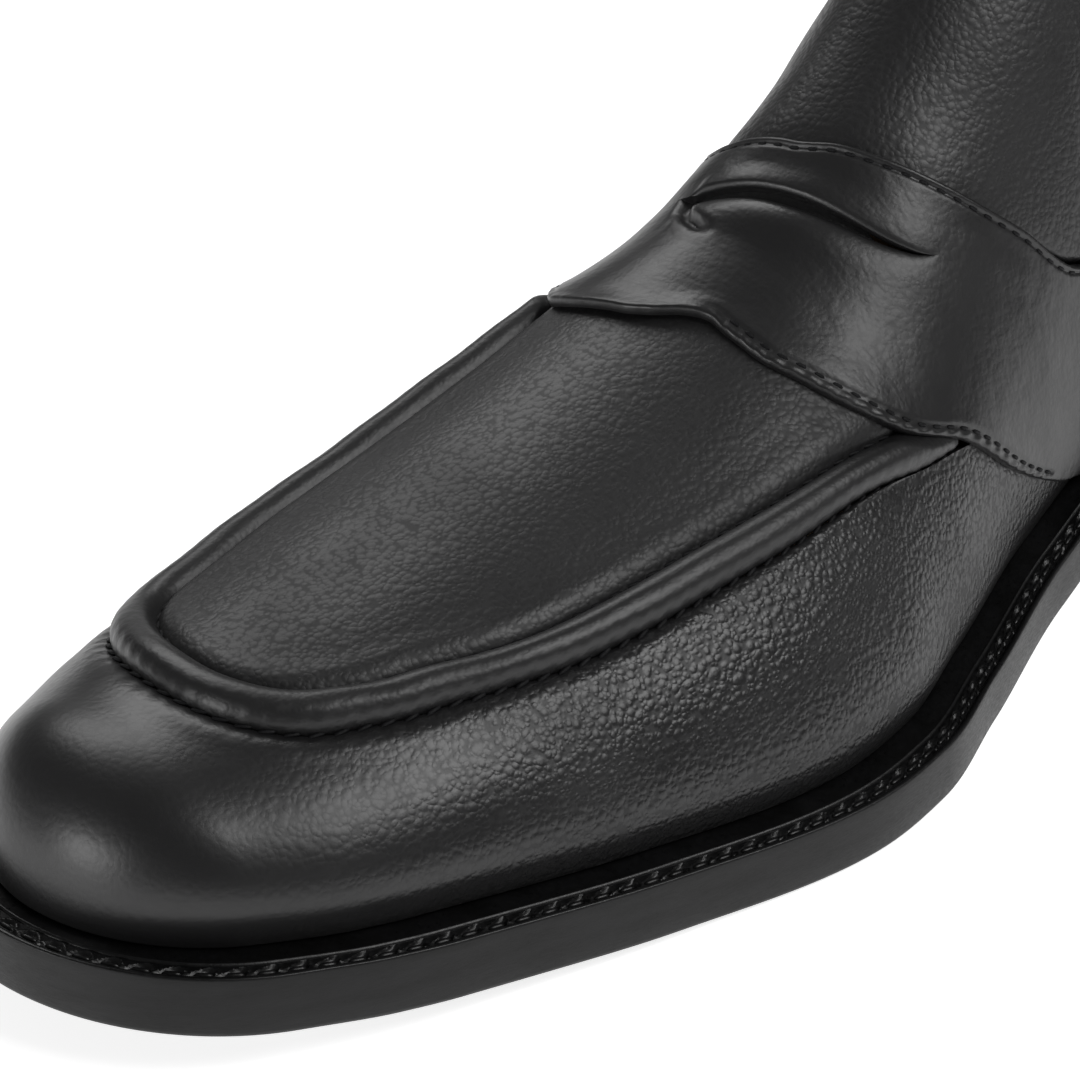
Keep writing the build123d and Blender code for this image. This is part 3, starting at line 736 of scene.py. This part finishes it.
def build_strap():
    a = strap_angles(520)
    front, rear = strap_front(a), strap_rear(a)
    tab = np.clip(tab_proud(a), 0, 1)
    line = np.clip(slot_line(a), front + 5, rear - 4.5)
    t = np.clip((a - SLOT_ENDS[0]) / (SLOT_ENDS[1] - SLOT_ENDS[0]), 0, 1)
    gape = np.minimum(1, 1.6 * t ** 0.7) * smooth(1.0, 0.93, t) * (t > 0)
    run = along_edge(front, a)
    pull = 0.5 + 0.5 * np.cos(2 * np.pi * run / EDGE_PITCH)
    hook = even(np.array(HOOK), 60)
    parts = []
    for low, high, lip in ((front, line - GAPE_LOW * gape, "low"), (line + GAPE_HIGH * gape, rear, "high")):
        v = spread(22.0, 0.8, 0.42)
        s = low[None] + (high - low)[None] * v[:, None]
        aa = np.broadcast_to(a[None], s.shape)
        flat = on_skin(s, aa, s * 0)
        near_low = lengths(np.swapaxes(flat, 0, 1)).T
        near_high = near_low[-1:] - near_low
        out = np.full(s.shape, STRAP_OUT)
        if lip == "low":
            out += 0.8 * tab * np.exp(-near_low / 3.0)
            out -= edge_round(near_low, 0.75) * (1 + 0.5 * tab)
            row = (1 - tab) * (a > FRONT_SEAM_ENDS[0]) * (a < 180 - FRONT_SEAM_ENDS[0])
            out -= groove(near_low, 0.34, at=FRONT_SEAM, width=0.5) * row
            out -= groove(near_low, 0.22 * pull, at=0.6, width=0.8) * row
            middle = np.exp(-((t - 0.55) / 0.36) ** 2)
            out += groove(near_high, 1.1 * gape * middle, at=3.6, width=3.6)
            out -= (edge_round(near_high, 0.9) + 2.2 * np.exp(-near_high / 0.9)) * gape
            d = nearest(np.stack([flat[..., 0].ravel() - AXIS_X, s.ravel()], -1), hook).reshape(s.shape)
            fade = smooth(-1.5, -7.0, flat[..., 0] - AXIS_X)
            out -= 1.5 * np.exp(-(d / 0.85) ** 2) * fade
        else:
            out -= edge_round(near_high, 0.75)
            row = (a > REAR_SEAM_ENDS[0]) * (a < REAR_SEAM_ENDS[1])
            out -= groove(near_high, 0.3, at=REAR_SEAM, width=0.4) * row
            out += groove(near_low, 0.4 * gape, at=1.2, width=2.4)
            out -= edge_round(near_low, 1.0) * gape
        inland = smooth(0, 5, np.minimum(near_low, near_high))
        out += 0.25 * np.sin(aa / 7.3 + s / 9.1) * np.sin(s / 6.0 + 1.0) * inland
        raised = 0.7 * tab * np.exp(-near_low / 1.5) if lip == "low" else 0.0
        under = np.minimum(0.05 + raised, out - 0.35)
        points, faces = slab_grid(on_skin(s, aa, out), on_skin(s, aa, under))
        parts.append((points, faces))
    shift = len(parts[0][0])
    points = np.concatenate([parts[0][0], parts[1][0]])
    faces = np.concatenate([parts[0][1], parts[1][1] + shift])
    obj = new_object("saddle_strap_skin", points, faces, STRAP_GRAIN)
    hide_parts("saddle_strap")


def step_in(s, a, towards, distance):
    """Stations a distance in from an edge, measured on the face."""
    rate = np.linalg.norm(skin(s + 0.5, a) - skin(s - 0.5, a), axis=-1)
    return s + towards * distance / rate


def build_strap_stitches():
    a = np.linspace(*FRONT_SEAM_ENDS, 1500)
    for name, side_a in (("strap_front_threads_outer", a), ("strap_front_threads_inner", 180 - a)):
        s = step_in(strap_front(side_a), side_a, 1, FRONT_SEAM)
        obj = seam_threads(name, s, side_a, 1.18, EDGE_PITCH, length=1.6, radius=0.3)
        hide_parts("strap_front_stitches")
    a = np.linspace(*REAR_SEAM_ENDS, 2500)
    s = step_in(strap_rear(a), a, -1, REAR_SEAM)
    obj = seam_threads("strap_rear_threads", s, a, 1.2, EDGE_PITCH, length=1.5, radius=0.27)
    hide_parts("strap_rear_stitches")


# ---- tongue ----
TONGUE_HALF = 67.0           # angle from the ridge to the tongue's side
TONGUE_TIP = 180.5
TONGUE_THICK = 1.7


def build_tongue():
    p = np.linspace(-1, 1, 190)
    q = spread(44.0, 0.9, 0.6)
    a = 90 - TONGUE_HALF * p
    foot = step_in(strap_rear(a), a, -1, 2.5)
    tip = TONGUE_TIP - 3.5 * np.abs(p) ** 3
    foot = np.minimum(foot, tip - 6)
    s = foot[:, None] + (tip - foot)[:, None] * q[None]
    aa = np.broadcast_to(a[:, None], s.shape)
    grid = on_skin(s, aa, s * 0)
    across = lengths(np.swapaxes(grid, 0, 1)).T
    near_side = np.minimum(across, across[-1:] - across)
    along = lengths(grid)
    near_tip = along[:, -1:] - along
    near = np.minimum(near_side, near_tip)
    above = grid[..., 2] - topline(s)
    sunk = smooth(0.3, -3.0, above) * smooth(152, 166, s)
    tucked = -0.02 + 0.3 * smooth(1, 6, along) - 0.6 * smooth(20, 40, along) - 4.0 * sunk
    out = tucked - edge_round(near, 0.8) - groove(near, 0.25, at=2.2, width=0.5)
    out += 0.35 * np.sin(s / 4.6 + aa / 30) * smooth(2, 8, near)
    depth = tucked - TONGUE_THICK
    for name, top, low, node, mat, slot in (
        ("tongue_skin", out, depth, "tongue", TONGUE_GRAIN, "grain_leather"),
        ("tongue_lining_skin", depth - 0.02, depth - 1.0, "tongue_lining", LINING_TAN, "lining_leather"),
    ):
        points, faces = slab_grid(on_skin(s, aa, top), on_skin(s, aa, low))
        obj = new_object(name, points, faces, mat, body=None)
        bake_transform(obj)
        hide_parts(node)


# ---- back of the upper ----
def back_stations(first, count):
    """Stations round the heel from the outer side to the inner side, with the side of each."""
    fore = np.linspace(first, UPPER_LENGTH - HEEL_ROUND[0], 300)
    aft = UPPER_LENGTH - end_marks(*HEEL_ROUND, 300)[::-1]
    s = np.concatenate([fore, aft[1:]])
    share = rounding(UPPER_LENGTH - s, *HEEL_ROUND)
    outside = np.stack([outer_width(s) * share, s, s * 0 + 1], -1)
    inside = np.stack([-inner_width(s) * share, s, s * 0 - 1], -1)
    line = np.concatenate([outside, inside[::-1][1:]])
    run = lengths(line[:, :2])
    at = np.linspace(0, run[-1], count)
    return np.interp(at, run, line[:, 1]), np.where(at <= run[-1] / 2, 1, -1)


def angle_by_side(z, s, side):
    """Angle of the upper's face at a height, where side is 1 on the outer side and -1 on the inner."""
    return np.where(side > 0, angle_at_height(z, s, 1), angle_at_height(z, s, -1))


def back_grid(first, count, low, high, rows):
    """Stations and angles of a wall round the heel between two heights by station."""
    s, side = back_stations(first, count)
    v = spread(30.0, 1.0, 30.0 / rows)
    z = low(s)[:, None] + (high(s) - low(s))[:, None] * v[None]
    ss = np.broadcast_to(s[:, None], z.shape)
    return ss, angle_by_side(z, ss, side[:, None])


def above_feather(rise):
    return lambda s: feather(s) + rise


def under_topline(drop):
    return lambda s: topline(s) - drop


def quarter_foot(s):
    """The quarters' lower edge climbs forwards, where the strap and vamp lie over it."""
    return feather(s) + 1.1 * np.maximum(180 - s, 0)


BACKSTAY_HALF = 11


def on_backstay(s, a):
    return np.abs(skin(s, a)[:, 0] - AXIS_X) < BACKSTAY_HALF


def whole(s, a):
    return np.full(len(s), True)


# name, first station, columns, foot, top, rows, outer and inner face, look, CAD nodes, slot, columns kept
BACK_PIECES = (
    ("quarters_skin", 152.0, 440, quarter_foot, under_topline(1.0), 45, 0.0, -LEATHER, WALL_GRAIN,
     ["outer_quarter", "inner_quarter"], "grain_leather", whole),
    ("quarter_lining_skin", 168.0, 320, above_feather(1.0), under_topline(1.2), 30, -2.7, -3.5, LINING_TAN,
     ["outer_quarter_lining", "inner_quarter_lining", "heel_grip"], "lining_leather", whole),
    ("heel_counter_skin", 222.0, 200, above_feather(1.0), under_topline(12.0), 16, -1.7, -2.5, CANVAS,
     ["heel_counter"], "stiffener", whole),
    ("backstay_skin", 262.0, 160, above_feather(0.3), under_topline(2.4), 36, 1.3, 0.0, WALL_GRAIN,
     ["backstay"], "grain_leather", on_backstay),
)


def build_back_pieces():
    for name, first, count, low, high, rows, face, depth, look, nodes, slot, keep in BACK_PIECES:
        s, a = back_grid(first, count, low, high, rows)
        kept = keep(s[:, 0], a[:, 0])
        s, a = s[kept], a[kept]
        top = np.full(s.shape, face)
        points, faces = slab_grid(on_skin(s, a, top), on_skin(s, a, np.full(s.shape, depth)))
        obj = new_object(name, points, faces, look)
        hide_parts(*nodes)


BINDING_FIRST = 171.0
TOPLINE_SEAM_FIRST = 190.0
TOPLINE_SEAM_DROP = 4.4


def build_topline_binding():
    s, side = back_stations(BINDING_FIRST, 560)
    turn = np.linspace(0, 2 * np.pi, 22, endpoint=False)
    z = topline(s)[:, None] - 1.15 + 1.35 * np.sin(turn)[None]
    ss = np.broadcast_to(s[:, None], z.shape)
    out = -1.75 + 2.5 * np.cos(turn)[None] * np.ones_like(z)
    ring = on_skin(ss, angle_by_side(z, ss, side[:, None]), out)
    n, m = ring.shape[:2]
    faces = grid_faces(n, m, wrap=True).tolist()
    faces += [list(range(m)), list(range(n * m - 1, n * m - m - 1, -1))]
    obj = new_object("topline_binding_skin", ring.reshape(-1, 3), faces, STRAP_GRAIN)
    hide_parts("topline_binding")


def build_topline_stitches():
    s, side = back_stations(TOPLINE_SEAM_FIRST, 1500)
    a = angle_by_side(topline(s) - TOPLINE_SEAM_DROP, s, side)
    obj = seam_threads("topline_threads", s, a, 0.05, EDGE_PITCH, length=1.7, radius=0.3)
    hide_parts("topline_stitches")


# ---- welt, outsole and heel ----
WELT_PITCH = 3.7
WELT_TOP = OUTSOLE + GAP + WELT
WELT_SEAM = 1.95             # the stitches lie this far in from the welt's edge
WELT_STEPS = 2300
# The welt's top: (distance in from its edge, height against WELT_TOP), outside and inside the stitches.
WELT_LIP = ((0.0, -0.3), (0.06, -0.04), (0.2, 0.08), (0.6, 0.1), (0.8, 0.0), (0.95, -0.35), (1.05, -0.5))
WELT_INNER = (
    (3.45, -0.45), (3.6, -0.15), (3.8, -0.1), (3.95, -0.45), (5.4, -0.5), (6.5, -0.4), (11.5, -0.4)
)


def fudged(margin):
    """Height of the welt's top at a margin: each stitch lies in a hollow behind an arched bead."""
    def height(s, run, total):
        wave = np.abs(np.sin(np.pi * run / total * round(total / WELT_PITCH)))
        arch = WELT_MARGIN - 1.2 - 1.75 * wave ** 0.75
        hollow = 0.3 * smooth(-0.2, 0.2, margin - arch)
        return bottom(s) + WELT_TOP - 0.4 - hollow + groove(margin, 0.32, at=arch, width=0.24)
    return height


def at_height(h):
    return lambda s, run, total: bottom(s) + h


def welt_profile():
    """Cross-section of the welt: (margin, height by station, run and total run), going round it."""
    profile = [(-5.5, at_height(OUTSOLE)), (WELT_MARGIN - 0.5, at_height(OUTSOLE))]
    profile += [(WELT_MARGIN, at_height(OUTSOLE + h)) for h in (0.0, 0.03, 2.4)]
    profile += [(WELT_MARGIN - d, at_height(WELT_TOP + h)) for d, h in WELT_LIP]
    profile += [(WELT_MARGIN - d, fudged(WELT_MARGIN - d)) for d in np.linspace(1.2, 3.3, 15)]
    profile += [(WELT_MARGIN - d, at_height(WELT_TOP + h)) for d, h in WELT_INNER]
    return profile


def build_welt():
    profile = welt_profile()
    rings = []
    for margin, height in profile:
        plan = plan_ring(margin, WELT_STEPS)
        run = lengths(np.concatenate([plan, plan[:1]]))
        z = height(plan[:, 1] - y_at(0), run[:-1], run[-1])
        rings.append(np.stack([plan[:, 0], plan[:, 1], z], -1))
    rows = len(profile)
    points = np.concatenate(rings)
    faces = grid_faces(rows + 1, WELT_STEPS, wrap=True) % len(points)
    obj = new_object("welt_skin", points, faces, WELT_BLACK)
    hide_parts("welt")
    obj.data.materials.append(SOLE_EDGE)
    margins = np.array([margin for margin, _ in profile])
    side_rows = {i for i in range(rows - 1) if margins[i:i + 2].min() > WELT_MARGIN - 0.15}
    first = [min(poly.vertices[0], poly.vertices[1]) for poly in obj.data.polygons]
    obj.data.polygons.foreach_set("material_index", [int(v // WELT_STEPS in side_rows) for v in first])


def build_welt_stitches():
    plan = plan_ring(WELT_MARGIN - WELT_SEAM, 3000)
    run = lengths(np.concatenate([plan, plan[:1]]))
    count = round(run[-1] / WELT_PITCH)
    at = (np.arange(count) + 0.5) * run[-1] / count
    ends = []
    for shift in (-0.6, 0.6):
        here = (at + shift) % run[-1]
        x = np.interp(here, run[:-1], plan[:, 0])
        y = np.interp(here, run[:-1], plan[:, 1])
        ends.append(np.stack([x, y, bottom(y - y_at(0)) + WELT_TOP - 0.74], -1))
    along = unit(ends[1] - ends[0])
    normals = unit(np.cross(along, np.stack([-along[:, 1], along[:, 0], along[:, 0] * 0], -1)))
    normals *= np.sign(normals[:, 2:])
    middles = (ends[0] + ends[1]) / 2
    obj = threads("welt_threads", middles, along, normals, length=2.5, radius=0.42, look=WELT_BLACK)
    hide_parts("welt_stitches")


PLATE_STEPS = 1200
PLATE_RUNGS = 13


def plate(name, levels, look, node):
    """Plate that follows the sole's underside: outlines of (margin, height), closed above and below."""
    count = PLATE_STEPS
    half = count // 2
    rings = []
    for margin, h in levels:
        plan = plan_ring(margin, count)
        rings.append(np.stack([plan[:, 0], plan[:, 1], bottom(plan[:, 1] - y_at(0)) + h], -1))
    grid = np.stack(rings)
    rows = len(levels)
    faces = grid_faces(rows, count, wrap=True).tolist()
    points = [grid.reshape(-1, 3)]
    start = rows * count
    order = np.arange(half + 1)
    opposite = (count - order) % count
    for row, flip in ((0, True), (rows - 1, False)):
        ring = grid[row]
        ladder = [row * count + order]
        for share in np.linspace(0, 1, PLATE_RUNGS)[1:-1]:
            rung = ring[order] * (1 - share) + ring[opposite] * share
            rung[:, 2] = bottom(rung[:, 1] - y_at(0)) + levels[row][1]
            points.append(rung)
            ladder.append(np.arange(start, start + half + 1))
            start += half + 1
        ladder.append(row * count + opposite)
        for a, b in zip(ladder, ladder[1:]):
            for k in range(half):
                corners = list(dict.fromkeys(int(c) for c in (a[k], a[k + 1], b[k + 1], b[k])))
                if len(corners) > 2:
                    faces.append(corners[::-1] if flip else corners)
    obj = new_object(name, np.concatenate(points), faces, look)
    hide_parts(node)


# Both cross-sections run out along the underside, up over the edge and back along the top.
# The outsole: (distance in from the welt's edge, height), with the stitch channel near its rim.
OUTSOLE_SECTION = (
    (9, 0.0), (5.2, 0.0), (5.0, 0.25), (4.7, 0.25), (4.5, 0.0), (1.0, 0.0), (0.5, 0.12), (0.15, 0.45),
    (0, 0.95), (0, 3.9), (0, 4.97), (0, 5.0), (0.8, 5.0), (3, 5.0),
)
# The sock liner: (margin, height above its underside).
SOCK_SECTION = ((-8.0, 0), (-3.9, 0), (-3.75, 0.2), (-3.75, 0.9), (-3.95, 1.15), (-5.0, 1.2))
INSOLE_TOP = OUTSOLE + GAP + WELT + 3.2


def build_plates():
    outsole = [(WELT_MARGIN - d, h) for d, h in OUTSOLE_SECTION]
    plate("outsole_skin", outsole, SOLE_EDGE, "outsole")
    sock = [(margin, INSOLE_TOP + h) for margin, h in SOCK_SECTION]
    plate("sock_liner_skin", sock, LINING_TAN, "sock_liner")


# ---- carried-over pieces ----
def dress_cad_nodes():
    looks = {
        "insole": LINING_TAN, "vamp_lining": LINING_TAN, "insole_rib": CANVAS,
        "strap_stay": CANVAS, "toe_puff": CANVAS, "heel_pad": FOAM, "cork_filler": CORK, "shank": STEEL,
        "lower_heel_lift": SOLE_EDGE, "middle_heel_lift": SOLE_EDGE, "upper_heel_lift": SOLE_EDGE,
        "top_piece": RUBBER, "heel_nails": BRASS,
    }
    for node, mat in looks.items():
        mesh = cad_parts[node].data
        mesh.materials.clear()
        mesh.materials.append(mat)


# ---- setting ----
FLOOR_HALF = 20000.0
FLOOR_GREYS = ((0.86, 0.86, 0.87), (0.9, 0.9, 0.9))
FLOOR_GLOW = 0.8
WORLD_GLOW = 0.1
# name, place, aim, power, width, height
LIGHTS = [
    ("key_softbox", (0.78, 0.32, 1.11), (0.02, -0.04, 0.03), 9.5, 0.85, 0.6),
    ("toe_softbox", (-0.2, -1.2, 0.24), (0.0, -0.1, 0.03), 4.0, 0.5, 0.34),
    ("inner_softbox", (-0.85, 0.35, 0.9), (0.0, -0.05, 0.03), 4.6, 0.8, 0.5),
]


def build_floor():
    mat, nodes, links, shader, where = material("pale_floor")
    tone = ramp(nodes, links, noise(nodes, links, where, 3.0, 2.0), 0.2, 0.8)
    links.new(colour_mix(nodes, links, tone, *FLOOR_GREYS), shader.inputs["Base Color"])
    shader.inputs["Roughness"].default_value = 0.6
    shader.inputs["Emission Color"].default_value = (1, 1, 1, 1)
    shader.inputs["Emission Strength"].default_value = FLOOR_GLOW
    far = FLOOR_HALF
    points = [(-far, -far, 0), (far, -far, 0), (far, far, 0), (-far, far, 0)]
    floor = new_object("floor", points, [(0, 1, 2, 3)], mat, body=None)


def build_lights():
    world = bpy.data.worlds.new("studio")
    bpy.context.scene.world = world
    world.use_nodes = True
    back = world.node_tree.nodes["Background"]
    back.inputs["Color"].default_value = (1, 1, 1, 1)
    back.inputs["Strength"].default_value = WORLD_GLOW
    bpy.context.scene.view_settings.view_transform = "Standard"
    for name, place, aim, power, width, height in LIGHTS:
        light = bpy.data.lights.new(name, "AREA")
        light.shape = "RECTANGLE"
        light.size = width
        light.size_y = height
        light.energy = power
        obj = bpy.data.objects.new(name, light)
        obj.location = place
        direction = Vector(aim) - Vector(place)
        obj.rotation_euler = direction.to_track_quat("-Z", "Y").to_euler()
        bpy.context.scene.collection.objects.link(obj)


CAMERA_TURN = 44.3
CAMERA_RISE = 29.8
CAMERA_DISTANCE = 0.411
CAMERA_AIM = (0.0089, -0.067, 0.0385)
CAMERA_LENS = 106.4


def build_camera():
    turn = math.radians(CAMERA_TURN)
    rise = math.radians(CAMERA_RISE)
    back = Vector((math.sin(turn) * math.cos(rise), -math.cos(turn) * math.cos(rise), math.sin(rise)))
    data = bpy.data.cameras.new("camera")
    data.lens = CAMERA_LENS
    data.sensor_width = 36.0
    data.clip_start = 0.01
    cam = bpy.data.objects.new("camera", data)
    cam.location = Vector(CAMERA_AIM) + back * CAMERA_DISTANCE
    cam.rotation_euler = back.to_track_quat("Z", "Y").to_euler()
    bpy.context.scene.collection.objects.link(cam)
    bpy.context.scene.camera = cam


build_camera()
build_floor()
build_lights()
build_plug()
build_roll()
build_vamp()
build_apron_stitches()
build_strap()
build_strap_stitches()
build_tongue()
build_back_pieces()
build_topline_binding()
build_topline_stitches()
build_welt()
build_welt_stitches()
build_plates()
dress_cad_nodes()
